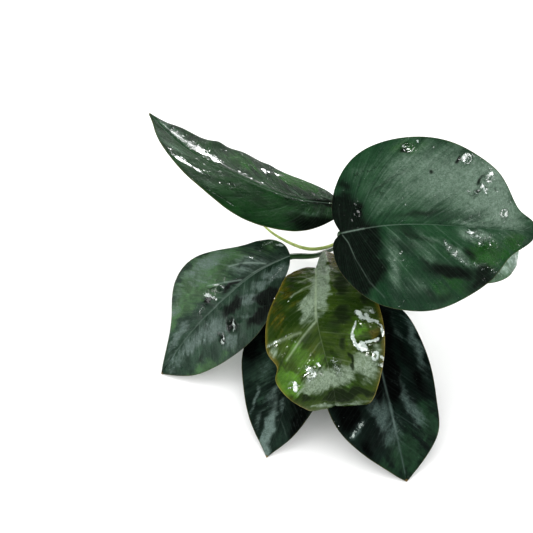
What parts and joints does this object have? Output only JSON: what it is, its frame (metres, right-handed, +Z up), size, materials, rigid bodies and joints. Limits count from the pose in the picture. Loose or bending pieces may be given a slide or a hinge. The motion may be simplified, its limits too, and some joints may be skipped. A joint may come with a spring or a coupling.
{
  "type": "bare-root anubias plant",
  "caption": "Low aquarium plant: broad wet leathery leaves on stalks from a creeping rhizome with wiry roots, ready to tie or glue to hardscape.",
  "frame": {"origin": "middle of the bounding box's underside, on the surface that the plant rests on", "axes": "+Z up, the young front leaf and the two dark leaves reach toward -Y, the roots toward +Y, the broad top leaf's tip toward +X"},
  "size_m": [0.137, 0.1502, 0.0892],
  "materials": {
    "blade_tall_left": "wet waxy leaf",
    "blade_broad_top": "wet waxy leaf",
    "blade_low_left": "wet waxy leaf",
    "blade_young_front": "wet waxy leaf",
    "blade_front_left": "wet waxy leaf",
    "blade_front_right": "wet waxy leaf",
    "blade_small_right": "wet waxy leaf",
    "stalk": "smooth firm leaf stalk",
    "rhizome": "ringed firm stem with leaf scars",
    "growing_tip": "smooth rolled bud",
    "root": "matt wiry root",
    "pale_root": "smooth fresh root"
  },
  "bodies": {
    "root": {"leaf_tall_left": "blade_tall_left", "leaf_broad_top": "blade_broad_top", "leaf_low_left": "blade_low_left", "leaf_young_front": "blade_young_front", "leaf_front_left": "blade_front_left", "leaf_front_right": "blade_front_right", "leaf_small_right": "blade_small_right", "stalk_tall_left": "stalk", "stalk_broad_top": "stalk", "stalk_low_left": "stalk", "stalk_young_front": "stalk", "stalk_front_left": "stalk", "stalk_front_right": "stalk", "stalk_small_right": "stalk", "rhizome": "rhizome", "growing_tip": "growing_tip", "root_pale_left": "pale_root", "root_back_1": "root", "root_back_2": "root", "root_back_3": "root", "root_back_4": "root", "root_back_5": "root", "root_end": "root", "root_front": "root"}
  },
  "joints": []
}
